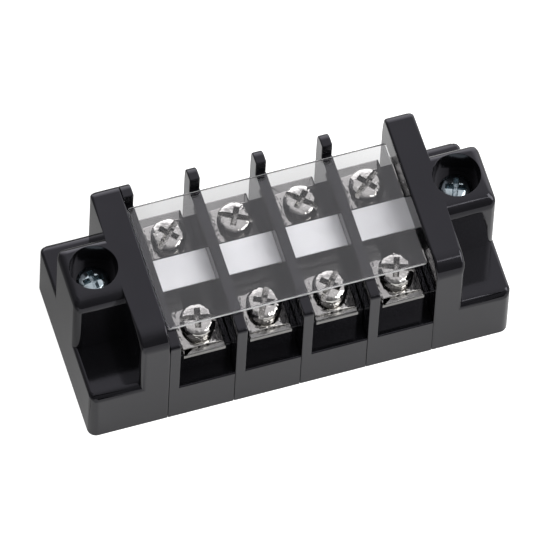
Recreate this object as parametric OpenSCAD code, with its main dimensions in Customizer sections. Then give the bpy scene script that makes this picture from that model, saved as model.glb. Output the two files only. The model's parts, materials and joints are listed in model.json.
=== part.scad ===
// Four-pole barrier terminal block: stacked black mouldings between two end brackets,
// a nickel-plated bus bar with two clamp screws in each pole, and a clear cover sheet.
// Millimetres, +Z up. The origin is under the middle of the block, at its base.
// +X runs along the row of poles, and the front is towards -Y.

/* [Block] */
// Depth of the block from front to rear
block_d = 40; // [38:0.5:56]
// Height of the end walls, the screw towers and the barrier nubs
block_h = 36; // [34:0.2:48]
// Radius of the upright outer corners of the ears and towers
corner_r = 2; // [0.8:0.1:2.5]
// Radius along the top rear edges of the end walls and the barrier nubs
rear_round = 2.2; // [0.4:0.1:2.4]
// Slit between one moulding and the next
seam_gap = 0.1; // [0.05:0.05:0.3]

/* [Poles] */
// Distance from one pole to the next
pole_pitch = 15; // [14:0.5:22]
// Thickness of the barrier at the left of each pole
barrier_t = 2.4; // [1.6:0.1:3]
// Height of the barriers, where the cover lies
barrier_h = 31.3; // [30:0.1:33]
// Radius at the top front corner of a barrier
barrier_round = 1; // [0.4:0.1:2]
// Depth of the nub at the rear of each barrier
nub_d = 3.9; // [2.5:0.1:6]
// Height of the base in front of the pedestal
base_h = 12.6; // [11:0.2:15]
// Depth of the ledge between the front face and the pedestal
ledge_d = 3.8; // [2.5:0.1:5]
// Height of the pedestal that the bus bar lies on
pedestal_h = 20; // [18:0.2:21]
// Height of the rib between the two screws
rib_h = 26.7; // [25:0.1:28.5]
// Width of the rim round the marker on the rib
rib_rim = 0.5; // [0.3:0.1:1]

/* [Markers] */
// Depth of a marker strip
marker_d = 7.8; // [5:0.1:9]
// Thickness of a marker strip
marker_t = 0.6; // [0.4:0.1:1]
// Depth of the shallow seat that holds the marker
marker_seat = 0.3; // [0.2:0.05:0.4]

/* [Bus bars] */
// Width of a bus bar
bar_w = 9.8; // [8:0.1:11]
// Thickness of a bus bar
bar_t = 1.5; // [1:0.1:2]
// Distance of the bar's end from the front or rear face
bar_inset = 2.6; // [1:0.1:3.5]
// Radius of the bar's corners
bar_corner = 0.3; // [0.2:0.1:2]
// Place of the front clamps between the rib, at 0, and the bar's front end, at 1
clamp_place_front = 0.63; // [0.1:0.01:0.9]
// Place of the rear clamps between the rib, at 0, and the bar's rear end, at 1
clamp_place_rear = 0.29; // [0.1:0.01:0.9]

/* [Clamp screws] */
// Outer diameter of the screw thread
thread_d = 4; // [3:0.1:4.5]
// Length of the screw under its head
screw_l = 7.5; // [6.5:0.1:8.5]
// Diameter of the screw head
head_d = 7.8; // [6.4:0.1:8.4]
// Height of the screw head
head_h = 2.6; // [2.2:0.1:3]
// Width of the driver slot
slot_w = 1; // [0.6:0.1:1.4]
// Depth of the driver slot
slot_h = 0.9; // [0.5:0.1:1.2]
// Side of the square clamp plate
clamp_w = 9.4; // [8.6:0.1:9.8]
// Thickness of the clamp plate
clamp_t = 0.8; // [0.6:0.1:1.2]
// Outer diameter of the split lock washer
washer_d = 7.2; // [6:0.1:7.8]
// Thickness of the lock washer
washer_t = 0.9; // [0.5:0.1:1.1]

/* [Cover] */
// Thickness of the clear cover sheet
cover_t = 1; // [0.6:0.1:2]
// Distance of the cover's front edge from the front face
cover_inset = 4.6; // [2:0.1:8]
// Gap between the cover's end and an end wall
cover_end_gap = 0.7; // [0.3:0.1:1.5]
// Gap between the cover's rear edge and the nubs
cover_rear_gap = 0.7; // [0.3:0.1:1.5]
// Radius of the cover's corners
cover_corner = 0.6; // [0.3:0.1:1.5]

/* [End brackets] */
// Thickness of an end wall
wall_t = 6.6; // [5:0.1:9]
// Radius along the top front edge of an end wall
wall_round = 4.6; // [1:0.1:6]
// Radius of an end wall's upright outer corners
wall_corner = 1.4; // [0.6:0.1:2]
// Length of the mounting ear beyond the end wall
ear_l = 11.1; // [10.5:0.1:15]
// Height of the ear in front of and behind its tower
slab_h = 17; // [14:0.5:20]
// Radius along the top front and rear edges of the ear
slab_round = 2.2; // [1:0.1:4]
// Radius along the top outer edge of the ear
slab_end_round = 1; // [0.4:0.1:1.6]
// Depth of the screw tower
tower_d = 15.4; // [14.8:0.1:18]
// Distance of the tower's middle behind the middle of the block
tower_shift = 0.5; // [0:0.1:1]
// Radius along the top front edge of the tower
tower_front_round = 3.4; // [1:0.1:4]
// Radius along the other top edges of the tower
tower_round = 2; // [0.6:0.1:2.4]
// Distance of the mounting hole from the outer end of the ear
hole_from_end = 6.7; // [6.6:0.1:8]
// Distance of the mounting hole behind the middle of the block
hole_shift = 1.6; // [1:0.1:1.9]
// Diameter of the counterbore in the tower
counterbore_d = 10.6; // [9:0.1:11]
// Height of the seat at the bottom of the counterbore
seat_h = 28; // [24:0.1:30]

/* [Mounting screws] */
// Diameter of a mounting screw
mount_d = 4; // [3:0.1:4.4]
// Diameter of a mounting screw's head
mount_head_d = 7.4; // [6:0.1:8]
// Height of a mounting screw's head
mount_head_h = 2.6; // [2:0.1:3]
// Height of the screw's tip above the base
mount_tip = 0.4; // [0.2:0.1:3]

/* [Underside] */
// Wall left round the cored pockets in the underside
core_wall = 3.4; // [3.2:0.1:4]
// Plastic left above the cored pockets
core_roof = 3; // [2:0.1:4]

/* [Fits] */
// Radial clearance of a screw thread in its tapped hole
thread_fit = 0.05; // [0.02:0.01:0.1]
// Clearance of a screw in a plain hole
hole_fit = 0.25; // [0.15:0.05:0.4]
// Clearance round a bar in its tunnel and a marker in its seat
slip_fit = 0.1; // [0.05:0.05:0.2]
// Diameter of the pegs that line up the mouldings
peg_d = 4; // [3:0.1:5]
// Length of a peg
peg_l = 2.4; // [1.5:0.1:2.6]

/* [Hidden] */
$fn = 48;

// Cuts reach this far past the faces they open
past = 1;
// Straight pieces in each quarter of a moulded round
arc_steps = 6;

// The row of poles
poles = 4;
row_l = poles * pole_pitch;
front_y = -block_d / 2;
rear_y = block_d / 2;
bracket_l = wall_t + ear_l;
// Inner face of an end bracket, half a slit outside the row
inner_x = (row_l + seam_gap) / 2;

// The room between two barriers, and its middle from the pole's left seam
cell_w = pole_pitch - seam_gap - barrier_t;
cell_x = barrier_t + cell_w / 2;

// Heights of the stack on the pedestal
bar_top = pedestal_h + bar_t;
washer_z = bar_top + clamp_t;
head_z = washer_z + washer_t;
marker_z = rib_h - marker_seat;

// The rib that carries the marker
rib_d = marker_d + 2 * (slip_fit + rib_rim);

// Slack of a clamp plate between the rib and the bar's end
clamp_slack = block_d / 2 - bar_inset - rib_d / 2 - clamp_w;
// How far each driver slot is turned from front to rear, seen from above
slot_turn_front = [78, -26, -41, 71];
slot_turn_rear = [-46, 63, 48, -51];

// Driver recesses: a cross in the middle, with a slot across a terminal screw's head
cross_l = 4.4;
cross_h = 1.5;
head_rim = 0.9;
screw_tip = 0.5;

// The lock washer's slit
slit_w = 0.6;
slit_turn = 200;

// The clamp plate's corners and the grooves underneath it
clamp_corner = 0.5;
groove_w = 0.5;
groove_h = 0.35;
groove_x = 0.95;

// Room round and below the screw's tip in the pedestal
tip_fit = 0.5;
tip_room = 1.2;

// Pegs sit in the base walls, in front of and behind the middle
peg_y = block_d / 2 - core_wall - peg_d;
peg_z = base_h / 2;
peg_room = 0.3;

// Mounting holes
hole_x = inner_x + bracket_l - hole_from_end;
mount_l = seat_h - mount_tip;
// How far the mounting screws' recesses are turned
mount_turn = [-20, 30];

function arc(centre, r, from, to) =
    [for (i = [0:arc_steps])
        let (a = from + (to - from) * i / arc_steps)
        [centre[0] + r * cos(a), centre[1] + r * sin(a)]];

// Left face of a pole, half a slit inside its share of the row
function pole_x(i) = (seam_gap - row_l) / 2 + (i - 1) * pole_pitch;

function cell_mid(i) = pole_x(i) + cell_x;

// Screw axis in front of the middle of the block, side -1, or behind it, side 1
function screw_y(side) =
    side * ((rib_d + clamp_w) / 2 + clamp_slack * (side < 0 ? clamp_place_front : clamp_place_rear));

// Sets a profile drawn in depth and height out along +X
module along_x(length) {
    rotate([90, 0, 90])
        linear_extrude(length)
            children();
}

// Depth and height outline with a flat foot and both top corners rounded
module arched_outline(from_y, to_y, h, front_r, rear_r) {
    polygon(concat(
        [[from_y, 0], [to_y, 0]],
        arc([to_y - rear_r, h - rear_r], rear_r, 0, 90),
        arc([from_y + front_r, h - front_r], front_r, 90, 180)
    ));
}

// Plan outline that reaches out along -X, with its two outer corners rounded
module outer_plan(length, from_y, to_y, r) {
    polygon(concat(
        [[0, from_y], [0, to_y]],
        arc([r - length, to_y - r], r, 90, 180),
        arc([r - length, from_y + r], r, 180, 270)
    ));
}

// Block as long as a bracket with its top outer edge rounded
module rounded_end(from_y, to_y, h, r) {
    translate([0, to_y, 0])
        rotate([90, 0, 0])
            linear_extrude(to_y - from_y)
                polygon(concat(
                    [[-bracket_l, 0], [0, 0], [0, h]],
                    arc([r - bracket_l, h - r], r, 90, 180)
                ));
}

// Rectangle about the origin with rounded corners
module rounded_plate(w, d, r) {
    polygon(concat(
        arc([w / 2 - r, d / 2 - r], r, 0, 90),
        arc([r - w / 2, d / 2 - r], r, 90, 180),
        arc([r - w / 2, r - d / 2], r, 180, 270),
        arc([w / 2 - r, r - d / 2], r, 270, 360)
    ));
}

// Two pegs pointing along -X from a seam face
module pegs(d, length) {
    for (side = [-1, 1])
        translate([0, side * peg_y, peg_z])
            rotate([0, -90, 0])
                cylinder(d = d, h = length);
}

// Left end bracket with its inner face at x = 0
module bracket_form() {
    tower_y = [tower_shift - tower_d / 2, tower_shift + tower_d / 2];
    intersection() {
        translate([-bracket_l, 0, 0])
            along_x(bracket_l)
                arched_outline(front_y, rear_y, slab_h, slab_round, slab_round);
        linear_extrude(slab_h)
            outer_plan(bracket_l, front_y, rear_y, corner_r);
        rounded_end(front_y, rear_y, slab_h, slab_end_round);
    }
    intersection() {
        translate([-bracket_l, 0, 0])
            along_x(bracket_l)
                arched_outline(tower_y[0], tower_y[1], block_h, tower_front_round, tower_round);
        linear_extrude(block_h)
            outer_plan(bracket_l, tower_y[0], tower_y[1], corner_r);
        rounded_end(tower_y[0], tower_y[1], block_h, tower_round);
    }
    intersection() {
        translate([-wall_t, 0, 0])
            along_x(wall_t)
                arched_outline(front_y, rear_y, block_h, wall_round, rear_round);
        linear_extrude(block_h)
            outer_plan(wall_t, front_y, rear_y, wall_corner);
    }
}

module bracket_cuts() {
    translate([hole_from_end - bracket_l, hole_shift, 0]) {
        translate([0, 0, seat_h])
            cylinder(d = counterbore_d, h = block_h - seat_h + past);
        translate([0, 0, -past])
            cylinder(d = mount_d + 2 * hole_fit, h = seat_h + 2 * past);
    }
    core_l = ear_l - 2 * core_wall;
    core_d = (block_d - tower_d) / 2 - abs(tower_shift) - 2 * core_wall;
    for (y = [front_y + core_wall, rear_y - core_wall - core_d])
        translate([core_wall - bracket_l, y, -past])
            cube([core_l, core_d, slab_h - core_roof + past]);
}

module end_bracket_left() {
    color("#1b1b1d")
        translate([-inner_x, 0, 0])
            difference() {
                bracket_form();
                bracket_cuts();
                translate([past, 0, 0])
                    pegs(peg_d + 2 * slip_fit, peg_l + peg_room + past);
            }
}

module end_bracket_right() {
    color("#1b1b1d")
        translate([inner_x, 0, 0]) {
            mirror([1, 0, 0])
                difference() {
                    bracket_form();
                    bracket_cuts();
                }
            translate([past, 0, 0])
                pegs(peg_d, peg_l + past);
        }
}

// Depth and height outline of a barrier: low front part and a nub at the rear
module barrier_outline() {
    nub_y = rear_y - nub_d;
    polygon(concat(
        [[front_y, 0], [rear_y, 0]],
        arc([rear_y - rear_round, block_h - rear_round], rear_round, 0, 90),
        [[nub_y, block_h], [nub_y, barrier_h]],
        arc([front_y + barrier_round, barrier_h - barrier_round], barrier_round, 90, 180)
    ));
}

// Depth and height outline of base, pedestal and rib between the barriers
module cell_outline() {
    step_y = rear_y - ledge_d;
    polygon([
        [front_y, 0], [rear_y, 0], [rear_y, base_h], [step_y, base_h],
        [step_y, pedestal_h], [rib_d / 2, pedestal_h], [rib_d / 2, rib_h],
        [-rib_d / 2, rib_h], [-rib_d / 2, pedestal_h], [-step_y, pedestal_h],
        [-step_y, base_h], [front_y, base_h]
    ]);
}

module pole_cuts() {
    tunnel_w = bar_w + 2 * slip_fit;
    translate([cell_x - tunnel_w / 2, -rib_d / 2 - past, pedestal_h])
        cube([tunnel_w, rib_d + 2 * past, bar_t + slip_fit]);
    tip_z = head_z - screw_l - tip_room;
    for (side = [-1, 1])
        translate([cell_x, screw_y(side), tip_z])
            cylinder(d = thread_d + 2 * tip_fit, h = pedestal_h - tip_z + past);
    translate([barrier_t + rib_rim, -marker_d / 2 - slip_fit, marker_z])
        cube([cell_w + past, marker_d + 2 * slip_fit, marker_seat + past]);
    translate([core_wall, front_y + core_wall, -past])
        cube([pole_pitch - seam_gap - 2 * core_wall, block_d - 2 * core_wall, base_h - core_roof + past]);
    translate([pole_pitch - seam_gap + past, 0, 0])
        pegs(peg_d + 2 * slip_fit, peg_l + peg_room + past);
}

// One pole moulding with its left seam at x = 0
module pole_form() {
    difference() {
        union() {
            along_x(barrier_t)
                barrier_outline();
            along_x(pole_pitch - seam_gap)
                cell_outline();
            translate([past, 0, 0])
                pegs(peg_d, peg_l + past);
        }
        pole_cuts();
    }
}

module pole(i) {
    color("#1b1b1d")
        translate([pole_x(i), 0, 0])
            pole_form();
}

module bus_bar(i) {
    bar_d = block_d - 2 * bar_inset;
    color("#c9c8c4")
        translate([cell_mid(i), 0, pedestal_h])
            difference() {
                linear_extrude(bar_t)
                    rounded_plate(bar_w, bar_d, bar_corner);
                for (side = [-1, 1])
                    translate([0, screw_y(side), -past])
                        cylinder(d = thread_d + 2 * thread_fit, h = bar_t + 2 * past);
            }
}

module marker(i) {
    marker_w = cell_w - rib_rim - 2 * slip_fit;
    color("#f2f1f4")
        translate([pole_x(i) + barrier_t + rib_rim + slip_fit, -marker_d / 2, marker_z])
            cube([marker_w, marker_d, marker_t]);
}

module clamp_plate(i, side) {
    color("#d2d1cd")
        translate([cell_mid(i), screw_y(side), bar_top])
            difference() {
                linear_extrude(clamp_t)
                    rounded_plate(clamp_w, clamp_w, clamp_corner);
                translate([0, 0, -past])
                    cylinder(d = thread_d + 2 * hole_fit, h = clamp_t + 2 * past);
                for (x = [-groove_x, groove_x])
                    translate([x - groove_w / 2, -clamp_w / 2 - past, -past])
                        cube([groove_w, clamp_w + 2 * past, groove_h + past]);
            }
}

module lock_washer(i, side) {
    color("#bdbcb8")
        translate([cell_mid(i), screw_y(side), washer_z])
            difference() {
                cylinder(d = washer_d, h = washer_t);
                translate([0, 0, -past])
                    cylinder(d = thread_d + 2 * hole_fit, h = washer_t + 2 * past);
                rotate([0, 0, slit_turn])
                    translate([0, -slit_w / 2, -past])
                        cube([washer_d, slit_w, washer_t + 2 * past]);
            }
}

// Pan head on a shank, seat at z = 0, with a crossed driver recess
module pan_screw(d, length, hd, hh) {
    crown_r = hd / 2 - head_rim;
    difference() {
        union() {
            rotate_extrude()
                polygon(concat(
                    [[0, 0], [hd / 2, 0]],
                    arc([crown_r, hh - head_rim], head_rim, 0, 90),
                    [[0, hh]]
                ));
            translate([0, 0, screw_tip - length])
                cylinder(d = d, h = length - screw_tip);
            translate([0, 0, -length])
                cylinder(d1 = d - 2 * screw_tip, d2 = d, h = screw_tip);
        }
        for (turn = [0, 90])
            rotate([0, 0, turn])
                translate([-slot_w / 2, -cross_l / 2, hh - cross_h])
                    cube([slot_w, cross_l, cross_h + past]);
    }
}

module terminal_screw(i, side) {
    turn = side < 0 ? slot_turn_front[i - 1] : slot_turn_rear[i - 1];
    color("#d8d7d3")
        translate([cell_mid(i), screw_y(side), head_z])
            rotate([0, 0, turn])
                difference() {
                    pan_screw(thread_d, screw_l, head_d, head_h);
                    translate([-slot_w / 2, -head_d / 2 - past, head_h - slot_h])
                        cube([slot_w, head_d + 2 * past, slot_h + past]);
                }
}

module cover() {
    cover_l = row_l - 2 * cover_end_gap;
    cover_d = block_d - cover_inset - nub_d - cover_rear_gap;
    color("#dfe6ea", 0.35)
        translate([0, front_y + cover_inset + cover_d / 2, barrier_h])
            linear_extrude(cover_t)
                rounded_plate(cover_l, cover_d, cover_corner);
}

module mounting_screw(side, turn) {
    color("#b9c2c6")
        translate([side * hole_x, hole_shift, seat_h])
            rotate([0, 0, turn])
                pan_screw(mount_d, mount_l, mount_head_d, mount_head_h);
}

end_bracket_left();
end_bracket_right();
for (i = [1:poles]) {
    pole(i);
    bus_bar(i);
    marker(i);
    clamp_plate(i, -1);
    clamp_plate(i, 1);
    lock_washer(i, -1);
    lock_washer(i, 1);
    terminal_screw(i, -1);
    terminal_screw(i, 1);
}
cover();
mounting_screw(-1, mount_turn[0]);  // mounting_screw_left
mounting_screw(1, mount_turn[1]);  // mounting_screw_right
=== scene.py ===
"""Looks of a four-pole barrier terminal block: black mouldings, plated clamp screws on
bus bars, white marker strips and a clear cover sheet, on a white studio floor."""

import json
import math
from collections import namedtuple

import bmesh
import bpy
from mathutils import Matrix, Vector
from mathutils.bvhtree import BVHTree


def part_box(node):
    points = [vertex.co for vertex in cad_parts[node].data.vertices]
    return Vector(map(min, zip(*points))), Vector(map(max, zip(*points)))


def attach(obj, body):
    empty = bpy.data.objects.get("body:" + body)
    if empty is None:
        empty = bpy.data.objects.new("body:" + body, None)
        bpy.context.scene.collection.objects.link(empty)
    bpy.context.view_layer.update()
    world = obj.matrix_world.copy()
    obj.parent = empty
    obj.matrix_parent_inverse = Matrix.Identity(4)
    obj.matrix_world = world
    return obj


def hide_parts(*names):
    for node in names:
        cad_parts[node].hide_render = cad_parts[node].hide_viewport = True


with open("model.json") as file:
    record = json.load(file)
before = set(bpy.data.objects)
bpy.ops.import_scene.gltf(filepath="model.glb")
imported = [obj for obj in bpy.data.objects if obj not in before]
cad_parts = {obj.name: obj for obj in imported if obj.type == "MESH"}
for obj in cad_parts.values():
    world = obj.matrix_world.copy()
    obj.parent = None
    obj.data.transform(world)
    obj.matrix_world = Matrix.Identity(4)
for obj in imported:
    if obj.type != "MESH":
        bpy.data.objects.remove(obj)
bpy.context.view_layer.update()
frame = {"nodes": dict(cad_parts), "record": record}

MM = 0.001
SIDES = ("front", "rear")
POLES = (1, 2, 3, 4)

# Points closer than this in mm are one, and faces flatter than this angle are joined
WELD = 0.002
FLAT_ANGLE = math.radians(0.4)

# Angles from which an edge is rounded, and from which shading breaks
SHARP_ANGLE = math.radians(28)
SMOOTH_ANGLE = math.radians(34)

# Sizes of the edges' rounds in mm, and the steps across a round
MOULD_EDGE = 0.35
BRACKET_EDGE = 0.7
SEAM_EDGE = 0.08
BAR_EDGE = 0.4
CLAMP_EDGE = 0.14
COVER_EDGE = 0.2
MARKER_EDGE = 0.06
EDGE_STEPS = 3

# A moulded edge stays crisp this near to a seam, the floor or a mounting bore's axis, in mm
SEAM_REACH = 0.2
BORE_REACH = 5.6

# Shares along an edge at which a neighbour's seam face is looked for
SEAM_SAMPLES = (0.1, 0.5, 0.9)

# Fall of a clamp plate's top towards its sides in mm, and the strips that draw its curve
CLAMP_CROWN = 0.5
CLAMP_STRIPS = 12

# Film of air under the cover, and reach of a marker past its solid, in mm
COVER_GAP = 0.05
MARKER_REACH = 0.18

# Roughness of the cover's sawn edges, and the share of light that passes them
SAWN_ROUGHNESS = 0.4
SAWN_CLARITY = 0.3

# Pan heads: height and upright rim in mm, and the share of the radius that is level on top
Head = namedtuple("Head", "height rim level")
TERMINAL_HEAD = Head(height=2.6, rim=1.7, level=0.6)
MOUNTING_HEAD = Head(height=2.6, rim=1.25, level=0.1)

# Round under a head's rim, in mm
HEAD_EDGE = 0.12

# Steps round a screw, and steps over its crown
SCREW_SEGMENTS = 72
HEAD_STEPS = 10

# Turn of each driver recess in degrees, pole by pole for the terminal screws
SLOT_TURN = {"front": (78, -26, -41, 71), "rear": (-46, 63, 48, -51)}
MOUNT_TURN = {"left": 6, "right": -23}

# Thread, plain neck and narrowing tip of the shank, in mm
THREAD_D = 4.0
THREAD_PITCH = 0.7
THREAD_DEPTH = 0.38
NECK_H = 0.3
TIP_H = 0.5
TIP_FALL = 0.6

# Shares of the thread's depth along one pitch, and turns left out at its ends
THREAD_PROFILE = (1.0, 1.0, 0.5, 0.0, 0.0, 0.5)
PLAIN_TURNS = 2

# Cross recess and slot in mm, with the flare of their cutting tools on each side at the top
CROSS_L = 5.2
CROSS_W = 1.3
CROSS_H = 1.8
CROSS_FOOT_L = CROSS_L * 2 / 3
CROSS_FOOT_W = CROSS_W / 2
CROSS_FLARE = 0.14
SLOT_W = 1.1
SLOT_H = 1.1
SLOT_FLARE = 0.1

# How far the cutting tools stand above the head and past its rim, in mm
TOOL_ABOVE = 0.6
TOOL_PAST_RIM = 1.0

# A face is in the recess this far inside the head's rim and under its skin, in mm
RECESS_RIM = 0.2
RECESS_SKIN = 0.08

# Roughness that wear adds in a recess, and the share by which a plating's own varies in patches
RECESS_ROUGHNESS = 0.22
PLATING_SPREAD = 0.15

# Spring washers, in mm
WASHER_BORE = 4.5
WASHER_SLIT = 0.6
WASHER_EDGE = 0.14
WASHER_GAP = 0.02

# Place of the washers' slit in degrees, and steps round a washer and round its wire's corners
WASHER_TURN = 200
WASHER_STEPS = 64
WASHER_CORNER_STEPS = 3

# Brightness of the room by height, from the floor's level at 0 to overhead at 1, and its strength
CEILING = ((0.0, 0.1), (0.16, 0.12), (0.42, 0.8), (0.7, 0.94), (1.0, 1.0))
CEILING_POWER = 1.08

# Brightness of the studio as shiny faces mirror it, from front left, at 0, to rear right, at 1
BRIGHT_WAY = (0.77, 0.64, 0.0)
MIRRORED_STUDIO = (
    (0.1, 0.12), (0.28, 0.2), (0.38, 0.4), (0.45, 0.65), (0.55, 0.9), (0.7, 1.0),
)

# The white backdrop low down behind the block, which shiny faces mirror brighter still
REAR_WAY = (0.342, 0.94, 0.0)
BACKDROP_FROM = 0.54
BACKDROP_FULL = 0.85
BACKDROP = 1.6

# Shares of white in the floor's paint at places in mm along a way from rear left to front right,
# lower towards the rear left as painted shade
FLOOR_WAY = (1.0, -0.5, 0.0)
FLOOR_PAINT_AND_SHADE = ((-64, 0.16), (-50, 0.36), (-42, 0.44), (-32, 0.63), (30, 0.7), (62, 0.6))

# Half the stretch in mm over which those shares are laid out
FLOOR_SPAN = 80

# Half the floor's width in metres, and the gap under the block in mm
FLOOR_HALF = 2.5
FLOOR_GAP = 0.05

# Shares of white that the floor's lifted tone gives each kind of ray
FLOOR_LIFT = {"Is Camera Ray": 0.9, "Is Transmission Ray": 0.29, "Is Glossy Ray": 0.08}

# What the camera and the lamp point at
TARGET = Vector((-0.66, -1.95, 18.0)) * MM

# Key lamp: bearing and height in degrees, distance and size in metres, power in watts
KEY_AZIMUTH = 62
KEY_ELEVATION = 47
KEY_DISTANCE = 0.9
KEY_SIZE = 0.66
KEY_POWER = 5.3

# Camera at the photograph's angle: angles in degrees, distances in metres, lens and sensor in mm
CAMERA_AZIMUTH = -20.04
CAMERA_ELEVATION = 61.554
CAMERA_ROLL = 3.452
CAMERA_DISTANCE = 3.333
CAMERA_LENS = 1004.85
CAMERA_SENSOR = 36
CAMERA_NEAR = 0.1
CAMERA_FAR = 20

BODY_OF = {
    node: body
    for body, nodes in frame["record"]["behaviour"]["bodies"].items()
    for node in nodes
}


def middle(node):
    """The middle of a node's box."""
    low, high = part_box(node)
    return (low + high) / 2


BORE_AXES = [middle(f"mounting_screw_{side}").xy for side in MOUNT_TURN]


def linear(hex_colour):
    """Linear RGBA of an sRGB colour written as #rrggbb."""
    shares = [int(hex_colour[i:i + 2], 16) / 255 for i in (1, 3, 5)]
    return [
        s / 12.92 if s <= 0.04045 else ((s + 0.055) / 1.055) ** 2.4 for s in shares
    ] + [1.0]


def grey(value):
    """RGBA of a neutral tone."""
    return (value, value, value, 1.0)


def per_mm(size):
    """Texture scale at which one feature of a pattern is size mm wide."""
    return 1 / (size * MM)


def add(tree, kind, inputs=None, stops=(), **settings):
    """Adds one node with its own settings, its inputs set or linked, and the (place, RGBA)
    stops of a colour ramp."""
    made = tree.nodes.new(kind)
    for name, value in settings.items():
        setattr(made, name, value)
    for name, value in (inputs or {}).items():
        if isinstance(value, bpy.types.NodeSocket):
            tree.links.new(value, made.inputs[name])
        else:
            made.inputs[name].default_value = value
    if stops:
        elements = made.color_ramp.elements
        while len(elements) < len(stops):
            elements.new(1.0)
        for element, (place, colour) in zip(elements, stops):
            element.position = place
            element.color = colour
    return made


def empty_material(name):
    """A material with no nodes but its output, its node tree and that output."""
    made = bpy.data.materials.new(name)
    made.use_nodes = True
    made.node_tree.nodes.clear()
    return made, made.node_tree, add(made.node_tree, "ShaderNodeOutputMaterial")


def surface_place(tree):
    """Coordinates on the piece in metres, shifted by where it stands, so that copies differ."""
    place = add(tree, "ShaderNodeTexCoord").outputs["Object"]
    home = add(tree, "ShaderNodeObjectInfo").outputs["Location"]
    return add(
        tree, "ShaderNodeVectorMath", {0: place, 1: home}, operation="ADD"
    ).outputs["Vector"]


def moulded_black_plastic():
    """Glass-filled thermoplastic moulded in a polished tool: deep black with a soft, cool gloss,
    a faint orange peel, cloudy flow marks and a few fine scuffs that catch the light."""
    made, tree, out = empty_material("moulded_black_plastic")
    place = surface_place(tree)
    flow = add(tree, "ShaderNodeTexNoise", {
        "Vector": place, "Scale": per_mm(9), "Detail": 3, "Roughness": 0.55,
    }).outputs["Fac"]
    peel = add(tree, "ShaderNodeTexNoise", {
        "Vector": place, "Scale": per_mm(0.9), "Detail": 2, "Roughness": 0.5,
    }).outputs["Fac"]
    # Tool grit is finer than this on the real surface: drawn coarser so that it shows
    grit = add(tree, "ShaderNodeTexNoise", {
        "Vector": place, "Scale": per_mm(0.22), "Detail": 1,
    }).outputs["Fac"]
    stretched = add(tree, "ShaderNodeMapping", {
        "Vector": place, "Rotation": (0.3, 0.5, 0.9), "Scale": (1, 14, 6),
    }).outputs["Vector"]
    scuffs = add(tree, "ShaderNodeTexNoise", {
        "Vector": stretched, "Scale": per_mm(5), "Detail": 2,
    }).outputs["Fac"]
    colour = add(
        tree, "ShaderNodeValToRGB", {"Fac": flow},
        stops=[(0.3, linear("#0a0a0c")), (0.7, linear("#0f0f11"))],
    ).outputs["Color"]
    dull = add(tree, "ShaderNodeMapRange", {
        "Value": flow, "From Min": 0.3, "From Max": 0.7, "To Min": 0.07, "To Max": 0.12,
    }).outputs["Result"]
    rubbed = add(tree, "ShaderNodeMapRange", {
        "Value": scuffs, "From Min": 0.64, "From Max": 0.74, "To Min": 0.0, "To Max": 0.06,
    }).outputs["Result"]
    rough = add(tree, "ShaderNodeMath", {0: dull, 1: rubbed}, operation="ADD").outputs[0]
    wavy = add(tree, "ShaderNodeBump", {
        "Height": peel, "Strength": 0.06, "Distance": 0.05 * MM,
    }).outputs["Normal"]
    gritty = add(tree, "ShaderNodeBump", {
        "Height": grit, "Strength": 0.05, "Distance": 0.02 * MM, "Normal": wavy,
    }).outputs["Normal"]
    plastic = add(tree, "ShaderNodeBsdfPrincipled", {
        "Base Color": colour, "Roughness": rough, "IOR": 1.5, "Specular IOR Level": 0.435,
        "Specular Tint": linear("#f6f4ff"), "Normal": gritty,
    })
    tree.links.new(plastic.outputs["BSDF"], out.inputs["Surface"])
    return made


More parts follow.
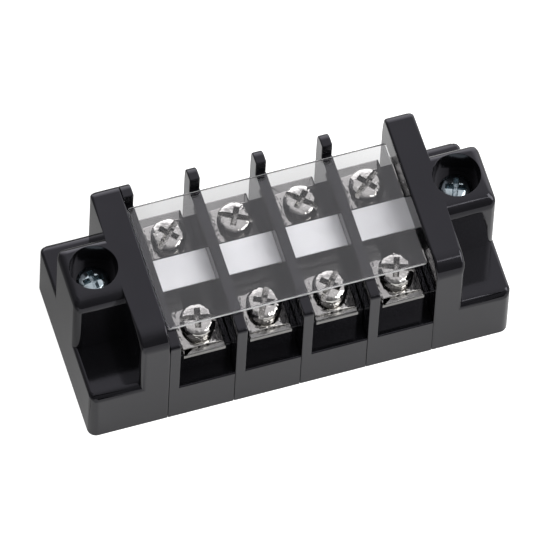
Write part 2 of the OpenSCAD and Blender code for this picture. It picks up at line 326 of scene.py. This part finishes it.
def plated_metal(name, bright, dim, rough, grain, drawn=(1, 1, 1), dents=0.0, recess_shade_colour=None):
    """Electroplated metal: a bright skin that follows the metal's own grain, a little
    cloudier in patches, and duller and speckled inside a driver recess, whose colour is darkened
    there as painted shade. grain is the grain's width in mm, drawn squeezes it into lines, dents is
    the depth in mm of the soft knocks that tumbling in the plating barrel leaves, and
    recess_shade_colour is the painted shade colour of a recess."""
    made, tree, out = empty_material(name)
    place = surface_place(tree)
    lined = add(tree, "ShaderNodeMapping", {"Vector": place, "Scale": drawn}).outputs["Vector"]
    grains = add(tree, "ShaderNodeTexNoise", {
        "Vector": lined, "Scale": per_mm(grain), "Detail": 2,
    }).outputs["Fac"]
    clouds = add(tree, "ShaderNodeTexNoise", {
        "Vector": place, "Scale": per_mm(2.2), "Detail": 3,
    }).outputs["Fac"]
    skin = add(
        tree, "ShaderNodeValToRGB", {"Fac": clouds},
        stops=[(0.3, linear(dim)), (0.7, linear(bright))],
    ).outputs["Color"]
    recess = add(tree, "ShaderNodeAttribute", attribute_name="recess").outputs["Fac"]
    speckle = add(tree, "ShaderNodeMapRange", {
        "Value": grains, "From Min": 0.38, "From Max": 0.62, "To Min": 0.4, "To Max": 1.0,
    }).outputs["Result"]
    # Speckled recess mask: it darkens the colour there as painted shade and raises the roughness as
    # wear
    recess_shade_and_wear = add(tree, "ShaderNodeMath", {0: recess, 1: speckle}, operation="MULTIPLY").outputs[0]
    colour = add(tree, "ShaderNodeMix", {
        "Factor": recess_shade_and_wear, "A": skin, "B": linear(recess_shade_colour or dim),
    }, data_type="RGBA").outputs["Result"]
    shine = add(tree, "ShaderNodeMapRange", {
        "Value": clouds, "From Min": 0.3, "From Max": 0.7,
        "To Min": rough * (1 - PLATING_SPREAD), "To Max": rough * (1 + PLATING_SPREAD),
    }).outputs["Result"]
    dull = add(tree, "ShaderNodeMath", {
        0: recess_shade_and_wear, 1: RECESS_ROUGHNESS, 2: shine,
    }, operation="MULTIPLY_ADD").outputs[0]
    knocks = add(tree, "ShaderNodeTexNoise", {
        "Vector": place, "Scale": per_mm(1.1), "Detail": 1,
    }).outputs["Fac"]
    knocked = add(tree, "ShaderNodeBump", {
        "Height": knocks, "Strength": 1.0, "Distance": dents * MM,
    }).outputs["Normal"]
    relief = add(tree, "ShaderNodeBump", {
        "Height": grains, "Strength": 0.08, "Distance": 0.02 * MM, "Normal": knocked,
    }).outputs["Normal"]
    metal = add(tree, "ShaderNodeBsdfPrincipled", {
        "Base Color": colour, "Metallic": 1.0, "Roughness": dull, "Normal": relief,
    })
    tree.links.new(metal.outputs["BSDF"], out.inputs["Surface"])
    return made


def clear_acrylic():
    """Extruded clear sheet: glassy, faintly grey, with hairline handling scratches, a frosted front
    edge painted white as a painted highlight, and side and rear edges painted dark grey as painted
    shade. Lamps shine through it as through a thin pane."""
    made, tree, out = empty_material("clear_acrylic")
    sheet = linear("#f2f2f2")
    place = surface_place(tree)
    drawn = add(tree, "ShaderNodeMapping", {
        "Vector": place, "Rotation": (0, 0, 0.6), "Scale": (1, 22, 1),
    }).outputs["Vector"]
    scratches = add(tree, "ShaderNodeTexNoise", {
        "Vector": drawn, "Scale": per_mm(8), "Detail": 2,
    }).outputs["Fac"]
    haze = add(tree, "ShaderNodeMapRange", {
        "Value": scratches, "From Min": 0.55, "From Max": 0.75, "To Min": 0.0, "To Max": 0.03,
    }).outputs["Result"]
    facing = add(tree, "ShaderNodeNewGeometry").outputs["True Normal"]
    facing_parts = add(tree, "ShaderNodeSeparateXYZ", {"Vector": facing}).outputs
    flat = add(tree, "ShaderNodeMath", {0: facing_parts["Z"]}, operation="ABSOLUTE").outputs[0]
    sawn = add(tree, "ShaderNodeMapRange", {
        "Value": flat, "From Min": 0.1, "From Max": 0.3, "To Min": 1.0, "To Max": 0.0,
    }).outputs["Result"]
    # Sawn edges coloured by the way they face: white on the front edge as a painted highlight, dark
    # grey on the side and rear edges as painted shade
    in_front = add(tree, "ShaderNodeMapRange", {
        "Value": facing_parts["Y"],
        "From Min": -0.8, "From Max": -0.3, "To Min": 1.0, "To Max": 0.0,
    }).outputs["Result"]
    edge_painted_light_and_shade = add(
        tree, "ShaderNodeValToRGB", {"Fac": in_front},
        stops=[(0.0, linear("#4c4d50")), (1.0, sheet)],
    ).outputs["Color"]
    tone = add(tree, "ShaderNodeMix", {
        "Factor": sawn, "A": sheet, "B": edge_painted_light_and_shade,
    }, data_type="RGBA").outputs["Result"]
    rough = add(tree, "ShaderNodeMath", {
        0: sawn, 1: SAWN_ROUGHNESS, 2: haze,
    }, operation="MULTIPLY_ADD").outputs[0]
    clear = add(tree, "ShaderNodeMapRange", {
        "Value": sawn, "To Min": 1.0, "To Max": SAWN_CLARITY,
    }).outputs["Result"]
    pane = add(tree, "ShaderNodeBsdfPrincipled", {
        "Base Color": tone, "Roughness": rough, "IOR": 1.49, "Transmission Weight": clear,
    })
    through = add(tree, "ShaderNodeBsdfTransparent", {"Color": linear("#e8e8e8")})
    shadow = add(tree, "ShaderNodeLightPath").outputs["Is Shadow Ray"]
    both = add(tree, "ShaderNodeMixShader", {
        "Fac": shadow, 1: pane.outputs["BSDF"], 2: through.outputs["BSDF"],
    })
    tree.links.new(both.outputs["Shader"], out.inputs["Surface"])
    return made


def white_marker_card():
    """Matte white marking strip: a card face with short fibres under a thin size coat."""
    made, tree, out = empty_material("white_marker_card")
    place = surface_place(tree)
    # Card fibres are finer than this: drawn coarser so that they show
    fibres = add(tree, "ShaderNodeTexNoise", {
        "Vector": place, "Scale": per_mm(0.3), "Detail": 3,
    }).outputs["Fac"]
    tone = add(tree, "ShaderNodeTexNoise", {
        "Vector": place, "Scale": per_mm(4), "Detail": 2,
    }).outputs["Fac"]
    colour = add(
        tree, "ShaderNodeValToRGB", {"Fac": tone},
        stops=[(0.35, linear("#eeeef1")), (0.65, linear("#f4f4f7"))],
    ).outputs["Color"]
    relief = add(tree, "ShaderNodeBump", {
        "Height": fibres, "Strength": 0.2, "Distance": 0.02 * MM,
    }).outputs["Normal"]
    card = add(tree, "ShaderNodeBsdfPrincipled", {
        "Base Color": colour, "Roughness": 0.6, "Normal": relief,
    })
    tree.links.new(card.outputs["BSDF"], out.inputs["Surface"])
    return made


def new_object(name, data):
    """A new object in the scene."""
    made = bpy.data.objects.new(name, data)
    bpy.context.scene.collection.objects.link(made)
    return made


def settle(piece, node, material):
    """Puts a piece in a node's place, on the node's body, with its finish."""
    piece.data.materials.clear()
    piece.data.materials.append(material)
    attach(piece, BODY_OF[node])
    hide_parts(node)


def mesh_of(form, name):
    """Turns a form into a mesh of that name."""
    mesh = bpy.data.meshes.new(name)
    form.to_mesh(mesh)
    form.free()
    return mesh


def modified_mesh(piece):
    """A new mesh of an object as its modifiers shape it."""
    return bpy.data.meshes.new_from_object(
        piece.evaluated_get(bpy.context.evaluated_depsgraph_get())
    )


def shade(mesh):
    """Smooth shading that breaks only at sharp edges."""
    mesh.shade_smooth()
    mesh.set_sharp_from_angle(angle=SMOOTH_ANGLE)


def lead_normals(mesh):
    """Corner normals led by the largest face that meets each corner smoothly, so that flat
    faces mirror the studio straight and only the rounds bend it."""
    around = [[] for _ in mesh.vertices]
    for face in mesh.polygons:
        for corner in face.vertices:
            around[corner].append(face)
    normals = []
    for face in mesh.polygons:
        for corner in face.vertices:
            total = Vector()
            for other in around[corner]:
                if face.normal.angle(other.normal, math.pi) < SMOOTH_ANGLE:
                    total += other.normal * other.area ** 2
            normals.append(total.normalized())
    mesh.shade_smooth()
    mesh.normals_split_custom_set(normals)


def solid_tree(node):
    """A search tree of a node's faces."""
    mesh = frame["nodes"][node].data
    return BVHTree.FromPolygons(
        [point.co for point in mesh.vertices], [face.vertices for face in mesh.polygons]
    )


def stays_crisp(edge, neighbours):
    """Whether an edge stands on the floor, rims a mounting bore or runs along a neighbour's
    seam face."""
    start, end = (point.co for point in edge.verts)
    if max(start.z, end.z) < SEAM_REACH * MM:
        return True
    for axis in BORE_AXES:
        if max((start.xy - axis).length, (end.xy - axis).length) < BORE_REACH * MM:
            return True
    if abs(start.x - end.x) > WELD * MM:
        return False
    places = [start.lerp(end, share) for share in SEAM_SAMPLES]
    return any(
        tree.find_nearest(place, SEAM_REACH * MM)[0] for tree in neighbours for place in places
    )


def eased_solid(node, edge, neighbours=()):
    """A copy of a node's solid with its sharp edges rounded to the given size in mm. In a row
    of neighbours, edges at a seam, at a bore and under the foot keep the mould's crisp line."""
    form = bmesh.new()
    form.from_mesh(frame["nodes"][node].data)
    bmesh.ops.remove_doubles(form, verts=form.verts, dist=WELD * MM)
    bmesh.ops.dissolve_limit(
        form, angle_limit=FLAT_ANGLE, verts=form.verts, edges=form.edges
    )
    share = form.edges.layers.float.new("bevel_weight_edge")
    for line in form.edges:
        if len(line.link_faces) == 2 and line.is_convex and line.calc_face_angle() > SHARP_ANGLE:
            crisp = neighbours and stays_crisp(line, neighbours)
            line[share] = SEAM_EDGE / edge if crisp else 1.0
    blank = mesh_of(form, f"{node}_blank")
    piece = new_object(f"{node}_finished", blank)
    rounds = piece.modifiers.new("rounds", "BEVEL")
    rounds.limit_method = "WEIGHT"
    rounds.width = edge * MM
    rounds.segments = EDGE_STEPS
    rounds.use_clamp_overlap = False
    mesh = modified_mesh(piece)
    mesh.name = f"{node}_mesh"
    piece.modifiers.clear()
    piece.data = mesh
    bpy.data.meshes.remove(blank)
    lead_normals(mesh)
    return piece


def crowned_plate(node):
    """A clamp plate whose top falls away a little to both sides, as stamping leaves it."""
    piece = eased_solid(node, CLAMP_EDGE)
    low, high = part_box(node)
    centre, half = (low.x + high.x) / 2, (high.x - low.x) / 2
    form = bmesh.new()
    form.from_mesh(piece.data)
    for i in range(1, CLAMP_STRIPS):
        x = low.x + (high.x - low.x) * i / CLAMP_STRIPS
        bmesh.ops.bisect_plane(
            form, geom=form.verts[:] + form.edges[:] + form.faces[:],
            plane_co=(x, 0, 0), plane_no=(1, 0, 0),
        )
    for point in form.verts:
        if point.co.z > (low.z + high.z) / 2:
            point.co.z -= CLAMP_CROWN * MM * ((point.co.x - centre) / half) ** 2
    form.to_mesh(piece.data)
    form.free()
    lead_normals(piece.data)
    return piece


def turned_point(form, radius, angle, z):
    """A new point round the Z axis, in mm and radians."""
    return form.verts.new(Vector((radius * math.cos(angle), radius * math.sin(angle), z)) * MM)


def ring(form, radius, z):
    """One ring of a screw's points, in mm."""
    angles = [2 * math.pi * j / SCREW_SEGMENTS for j in range(SCREW_SEGMENTS)]
    return [turned_point(form, radius, angle, z) for angle in angles]


def bridge(form, low, high):
    """Faces between two rings, seen from outside when high is further along the outline."""
    for j in range(len(low)):
        k = (j + 1) % len(low)
        form.faces.new((low[j], low[k], high[k], high[j]))


def threaded_shank(form, top, tip, low_z, high_z):
    """A helical thread between the ring at its top and the ring at its tip, in mm."""
    rows = len(THREAD_PROFILE)
    turns = int((high_z - low_z) / THREAD_PITCH) - PLAIN_TURNS
    start = low_z + (high_z - low_z - (turns + 1) * THREAD_PITCH) / 2
    count = turns * rows

    def point(row, column):
        z = start + THREAD_PITCH * (row / rows + column / SCREW_SEGMENTS)
        radius = THREAD_D / 2 - THREAD_DEPTH * THREAD_PROFILE[row % rows]
        return turned_point(form, radius, 2 * math.pi * column / SCREW_SEGMENTS, z)

    first = [point(row, 0) for row in range(count + rows + 1)]
    columns = [first] + [
        [point(row, column) for row in range(count + 1)] for column in range(1, SCREW_SEGMENTS)
    ]
    columns.append(first[rows:])
    for left, right in zip(columns, columns[1:]):
        for row in range(count):
            form.faces.new((left[row], right[row], right[row + 1], left[row + 1]))
    # The helix climbs one pitch a turn, so a step is left where each end meets its ring
    for j in range(SCREW_SEGMENTS):
        k = (j + 1) % SCREW_SEGMENTS
        foot = [tip[j], tip[k], columns[j + 1][0], columns[j][0]]
        neck = [columns[j][count], columns[j + 1][count], top[k], top[j]]
        if k == 0:
            foot[2:2] = first[:2]
        if j == 0:
            neck += [first[count + rows], first[count + 1]]
        form.faces.new(foot)
        form.faces.new(neck)
    form.faces.new(first[1:rows + 1])
    form.faces.new(first[count + 1:count + rows + 1][::-1])


def pan_head_outline(radius, head):
    """(radius, z) points of a pan head from its seat to its crown, in mm."""
    level = head.level * radius
    points = [(radius - HEAD_EDGE, 0.0), (radius, HEAD_EDGE), (radius, head.rim)]
    for i in range(1, HEAD_STEPS + 1):
        angle = math.pi / 2 * i / HEAD_STEPS
        points.append((
            level + (radius - level) * math.cos(angle),
            head.rim + (head.height - head.rim) * math.sin(angle),
        ))
    return points


def screw_blank(outline, length):
    """Head and threaded shank with the seat at z = 0 and no recess yet, in mm."""
    form = bmesh.new()
    root_r = THREAD_D / 2 - THREAD_DEPTH
    neck = ring(form, root_r, 0.0)
    rings = [neck] + [ring(form, r, z) for r, z in outline]
    for low, high in zip(rings, rings[1:]):
        bridge(form, low, high)
    form.faces.new(rings[-1])
    under = ring(form, root_r, -NECK_H)
    bridge(form, under, neck)
    tip = ring(form, root_r, TIP_H - length)
    end = ring(form, THREAD_D / 2 - TIP_FALL, -length)
    bridge(form, end, tip)
    form.faces.new(end[::-1])
    threaded_shank(form, under, tip, TIP_H - length, -NECK_H)
    bmesh.ops.recalc_face_normals(form, faces=form.faces)
    return mesh_of(form, "screw_blank")


def wedge(form, top, foot):
    """A bar along Y for cutting a recess, between a top and a foot that are each given as half
    a length, half a width and a height, in mm."""
    corners = ((-1, -1), (1, -1), (1, 1), (-1, 1))
    high, low = (
        [form.verts.new(Vector((x * half_w, y * half_l, z)) * MM) for x, y in corners]
        for half_l, half_w, z in (top, foot)
    )
    form.faces.new(high)
    form.faces.new(low[::-1])
    bridge(form, low, high)


def driver_tools(radius, head, slotted):
    """Tool meshes for a cross recess, and for a slot across the head where it has one."""
    above = head.height + TOOL_ABOVE
    tools = []
    for turn in (0, 90):
        form = bmesh.new()
        wedge(
            form,
            (CROSS_L / 2, CROSS_W / 2 + CROSS_FLARE, above),
            (CROSS_FOOT_L / 2, CROSS_FOOT_W / 2, head.height - CROSS_H),
        )
        bmesh.ops.rotate(form, verts=form.verts, matrix=Matrix.Rotation(math.radians(turn), 3, "Z"))
        tools.append(mesh_of(form, "cross_tool"))
    if slotted:
        form = bmesh.new()
        reach = radius + TOOL_PAST_RIM
        wedge(
            form,
            (reach, SLOT_W / 2 + SLOT_FLARE, above),
            (reach, SLOT_W / 2, head.height - SLOT_H),
        )
        tools.append(mesh_of(form, "slot_tool"))
    return tools


def cut(mesh, tools):
    """The mesh with each tool mesh cut away, one after the other."""
    blank = new_object("screw_blank", mesh)
    made = [blank]
    for tool in tools:
        cutter = new_object("driver_tool", tool)
        cutter.hide_render = True
        made.append(cutter)
        step = blank.modifiers.new("recess", "BOOLEAN")
        step.operation = "DIFFERENCE"
        step.solver = "EXACT"
        step.object = cutter
    shaped = modified_mesh(blank)
    for item in made:
        bpy.data.objects.remove(item)
    return shaped


def mark_recess(mesh, radius, head):
    """Marks the faces that lie under a pan head's outer skin as its driver recess."""
    level = head.level * radius
    marks = mesh.attributes.new("recess", "FLOAT", "FACE")
    for face in mesh.polygons:
        r = math.hypot(face.center.x, face.center.y) / MM
        z = face.center.z / MM
        fall = min(max((r - level) / (radius - level), 0.0), 1.0)
        skin = head.rim + (head.height - head.rim) * math.sqrt(1 - fall ** 2)
        inside = r < radius - RECESS_RIM and RECESS_SKIN < z < skin - RECESS_SKIN
        marks.data[face.index].value = float(inside)


def screw_mesh(name, node, head, slotted):
    """The finished mesh of a screw, sized from its node, with its seat at z = 0."""
    low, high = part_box(node)
    radius = (high.x - low.x) / 2 / MM
    length = (high.z - low.z) / MM - head.height
    blank = screw_blank(pan_head_outline(radius, head), length)
    mesh = cut(blank, driver_tools(radius, head, slotted))
    mesh.name = name
    mark_recess(mesh, radius, head)
    shade(mesh)
    return mesh


def place_screw(node, mesh, head, turn, material):
    """Stands a screw in its node's place, with its recess turned by the given degrees."""
    low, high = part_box(node)
    seat = (low + high) / 2
    seat.z = high.z - head.height * MM
    piece = new_object(f"{node}_finished", mesh)
    piece.matrix_world = Matrix.Translation(seat) @ Matrix.Rotation(math.radians(turn), 4, "Z")
    settle(piece, node, material)


def spring_washer_mesh(node):
    """A split ring of square wire with eased corners, sprung open a little at its slit."""
    low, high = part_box(node)
    outer = (high.x - low.x) / 2 / MM
    inner = WASHER_BORE / 2
    half_t = (high.z - low.z) / 2 / MM - WASHER_GAP
    mid_r, half_w = (outer + inner) / 2, (outer - inner) / 2
    section = []
    for side_r, side_z, start in ((1, 1, 0), (-1, 1, 90), (-1, -1, 180), (1, -1, 270)):
        for i in range(WASHER_CORNER_STEPS + 1):
            angle = math.radians(start + 90 * i / WASHER_CORNER_STEPS)
            section.append((
                mid_r + side_r * (half_w - WASHER_EDGE) + WASHER_EDGE * math.cos(angle),
                side_z * (half_t - WASHER_EDGE) + WASHER_EDGE * math.sin(angle),
            ))
    gap = WASHER_SLIT / mid_r
    form = bmesh.new()
    loops = []
    for i in range(WASHER_STEPS + 1):
        angle = math.radians(WASHER_TURN) + gap / 2 + (2 * math.pi - gap) * i / WASHER_STEPS
        loops.append([turned_point(form, r, angle, z) for r, z in section])
    for near, far in zip(loops, loops[1:]):
        bridge(form, near, far)
    form.faces.new(loops[0])
    form.faces.new(loops[-1][::-1])
    bmesh.ops.recalc_face_normals(form, faces=form.faces)
    mesh = mesh_of(form, "spring_washer")
    shade(mesh)
    return mesh


def make_mouldings():
    """The row of mouldings from left to right, each butted against the next."""
    plastic = moulded_black_plastic()
    row = ["end_bracket_left"] + [f"pole_{i}" for i in POLES] + ["end_bracket_right"]
    trees = [solid_tree(node) for node in row]
    for i, node in enumerate(row):
        edge = MOULD_EDGE if node.startswith("pole") else BRACKET_EDGE
        neighbours = trees[max(i - 1, 0):i] + trees[i + 1:i + 2]
        settle(eased_solid(node, edge, neighbours), node, plastic)


def make_bars():
    """Bars sheared from rolled strip."""
    # Satin grey, with the strip's fine rolling lines along the bar
    nickel = plated_metal(
        "nickel_plated_brass", "#959492", "#8b8a88", rough=0.2, grain=0.5, drawn=(12, 1, 12)
    )
    for i in POLES:
        node = f"bus_bar_{i}"
        settle(eased_solid(node, BAR_EDGE), node, nickel)


def make_clamps():
    """Stamped plates and spring washers, barrel plated."""
    # Bright and warm, with soft knocks that bend what it mirrors
    nickel = plated_metal(
        "nickel_plated_steel_stampings", "#c8c6c3", "#bbb9b6", rough=0.1, grain=0.25, dents=0.1
    )
    washer = spring_washer_mesh("lock_washer_front_1")
    for side in SIDES:
        for i in POLES:
            plate = f"clamp_plate_{side}_{i}"
            settle(crowned_plate(plate), plate, nickel)
            node = f"lock_washer_{side}_{i}"
            piece = new_object(f"{node}_finished", washer)
            piece.matrix_world = Matrix.Translation(middle(node))
            settle(piece, node, nickel)


def make_terminal_screws():
    """Pan-head screws with a cross and a slot, barrel plated."""
    # The brightest metal here, knocked about, with recesses painted grey and speckled as painted
    # shade
    nickel = plated_metal(
        "nickel_plated_steel_screws", "#d4d2ce", "#c4c2be",
        rough=0.08, grain=0.3, dents=0.2, recess_shade_colour="#72706c",
    )
    mesh = screw_mesh("terminal_screw", "terminal_screw_front_1", TERMINAL_HEAD, slotted=True)
    for side in SIDES:
        for i, turn in zip(POLES, SLOT_TURN[side]):
            node = f"terminal_screw_{side}_{i}"
            place_screw(node, mesh, TERMINAL_HEAD, turn, nickel)


def make_mounting_screws():
    """Pan-head screws with a cross, in the brackets' bores."""
    # Cool and bluish, a little duller than nickel, with recesses painted darker as painted shade
    zinc = plated_metal(
        "zinc_plated_steel", "#bfcacd", "#acb9be",
        rough=0.12, grain=0.3, dents=0.1, recess_shade_colour="#8f9ba1",
    )
    mesh = screw_mesh("mounting_screw", "mounting_screw_left", MOUNTING_HEAD, slotted=False)
    for side, turn in MOUNT_TURN.items():
        place_screw(f"mounting_screw_{side}", mesh, MOUNTING_HEAD, turn, zinc)


def make_markers():
    """Each strip is pushed right up to the barrier on its right."""
    card = white_marker_card()
    for i in POLES:
        node = f"marker_{i}"
        piece = eased_solid(node, MARKER_EDGE)
        centre = middle(node).x
        for point in piece.data.vertices:
            if point.co.x > centre:
                point.co.x += MARKER_REACH * MM
        settle(piece, node, card)


def make_cover():
    """The loose sheet touches the barriers only here and there, so a film of air under it
    keeps its lower face bright."""
    piece = eased_solid("cover", COVER_EDGE)
    centre = middle("cover").z
    for point in piece.data.vertices:
        if point.co.z < centre:
            point.co.z += COVER_GAP * MM
    settle(piece, "cover", clear_acrylic())


def make_floor():
    """A white studio floor that takes the block's soft shadow, with its paint darkened towards the
    left as painted shade, lifted to plain white where the camera looks at it."""
    made, tree, out = empty_material("studio_floor_white")
    place = add(tree, "ShaderNodeNewGeometry").outputs["Position"]
    along = add(tree, "ShaderNodeVectorMath", {
        0: place, 1: FLOOR_WAY,
    }, operation="DOT_PRODUCT").outputs["Value"]
    across = add(tree, "ShaderNodeMapRange", {
        "Value": along, "From Min": -FLOOR_SPAN * MM, "From Max": FLOOR_SPAN * MM,
    }).outputs["Result"]
    # The paint's white falls off towards the rear left: painted shade
    white = add(tree, "ShaderNodeValToRGB", {"Fac": across}, stops=[
        ((x + FLOOR_SPAN) / (2 * FLOOR_SPAN), grey(share)) for x, share in FLOOR_PAINT_AND_SHADE
    ]).outputs["Color"]
    paint = add(tree, "ShaderNodeBsdfDiffuse", {"Color": white})
    path = add(tree, "ShaderNodeLightPath")
    lift = 0.0
    for ray, share in FLOOR_LIFT.items():
        lifted = add(tree, "ShaderNodeMath", {
            0: path.outputs[ray], 1: share,
        }, operation="MULTIPLY").outputs[0]
        lift = add(tree, "ShaderNodeMath", {0: lift, 1: lifted}, operation="MAXIMUM").outputs[0]
    glow = add(tree, "ShaderNodeEmission", {"Color": grey(1.0), "Strength": lift})
    both = add(tree, "ShaderNodeAddShader", {
        0: paint.outputs["BSDF"], 1: glow.outputs["Emission"],
    })
    tree.links.new(both.outputs["Shader"], out.inputs["Surface"])
    form = bmesh.new()
    bmesh.ops.create_grid(form, x_segments=1, y_segments=1, size=FLOOR_HALF)
    mesh = mesh_of(form, "studio_floor")
    mesh.materials.append(made)
    floor = new_object("studio_floor", mesh)
    floor.location.z = -FLOOR_GAP * MM


def make_world():
    """A bright studio ceiling that falls off to dark walls near the floor, and plain white
    where the camera sees past the floor."""
    world = bpy.data.worlds.new("studio_room")
    bpy.context.scene.world = world
    world.use_nodes = True
    tree = world.node_tree
    tree.nodes.clear()
    way = add(tree, "ShaderNodeTexCoord").outputs["Generated"]
    height = add(tree, "ShaderNodeSeparateXYZ", {"Vector": way}).outputs["Z"]
    ceiling = add(tree, "ShaderNodeValToRGB", {"Fac": height}, stops=[
        (place, grey(share)) for place, share in CEILING
    ]).outputs["Color"]
    brighter = add(tree, "ShaderNodeVectorMath", {
        0: way, 1: BRIGHT_WAY,
    }, operation="DOT_PRODUCT").outputs["Value"]
    sideways = add(tree, "ShaderNodeMapRange", {
        "Value": brighter, "From Min": -1.0, "From Max": 1.0,
    }).outputs["Result"]
    walls = add(tree, "ShaderNodeValToRGB", {"Fac": sideways}, stops=[
        (place, grey(share)) for place, share in MIRRORED_STUDIO
    ]).outputs["Color"]
    rearwards = add(tree, "ShaderNodeVectorMath", {
        0: way, 1: REAR_WAY,
    }, operation="DOT_PRODUCT").outputs["Value"]
    backdrop = add(tree, "ShaderNodeMapRange", {
        "Value": rearwards, "From Min": BACKDROP_FROM, "From Max": BACKDROP_FULL,
        "To Min": 0.0, "To Max": BACKDROP,
    }).outputs["Result"]
    seen = add(tree, "ShaderNodeMath", {0: walls, 1: backdrop}, operation="ADD").outputs[0]
    path = add(tree, "ShaderNodeLightPath")
    room = add(tree, "ShaderNodeBackground", {"Color": ceiling, "Strength": CEILING_POWER})
    mirrored = add(tree, "ShaderNodeBackground", {"Color": linear("#fbfaff"), "Strength": seen})
    white = add(tree, "ShaderNodeBackground", {"Color": grey(1.0), "Strength": 1.0})
    lit = add(tree, "ShaderNodeMixShader", {
        "Fac": path.outputs["Is Glossy Ray"],
        1: room.outputs["Background"], 2: mirrored.outputs["Background"],
    })
    both = add(tree, "ShaderNodeMixShader", {
        "Fac": path.outputs["Is Camera Ray"],
        1: lit.outputs["Shader"], 2: white.outputs["Background"],
    })
    out = add(tree, "ShaderNodeOutputWorld")
    tree.links.new(both.outputs["Shader"], out.inputs["Surface"])


def aimed(name, data, azimuth, elevation, distance, roll=0.0):
    """A lamp or camera pointed at the block from a bearing and a height in degrees and a
    distance in metres, rolled by the given degrees."""
    a, e = math.radians(azimuth), math.radians(elevation)
    way = Vector((math.sin(a) * math.cos(e), -math.cos(a) * math.cos(e), math.sin(e)))
    turn = Matrix.Rotation(math.radians(roll), 3, "Z").to_quaternion()
    made = new_object(name, data)
    made.location = TARGET + way * distance
    made.rotation_mode = "QUATERNION"
    made.rotation_quaternion = (-way).to_track_quat("-Z", "Y") @ turn
    return made


def make_lamp():
    """A square soft box high on the right, a little in front of the block."""
    lamp = bpy.data.lights.new("key_right", "AREA")
    lamp.shape = "SQUARE"
    lamp.size = KEY_SIZE
    lamp.energy = KEY_POWER
    aimed("key_right", lamp, KEY_AZIMUTH, KEY_ELEVATION, KEY_DISTANCE)


def make_camera():
    """A long lens from the photograph's angle, for a square picture."""
    lens = bpy.data.cameras.new("photo_camera")
    lens.sensor_width = CAMERA_SENSOR
    lens.lens = CAMERA_LENS
    lens.clip_start = CAMERA_NEAR
    lens.clip_end = CAMERA_FAR
    bpy.context.scene.camera = aimed(
        "photo_camera", lens, CAMERA_AZIMUTH, CAMERA_ELEVATION, CAMERA_DISTANCE, CAMERA_ROLL
    )


make_camera()
make_mouldings()
make_bars()
make_clamps()
make_terminal_screws()
make_mounting_screws()
make_markers()
make_cover()
make_floor()
make_world()
make_lamp()
bpy.context.scene.view_settings.view_transform = "Standard"
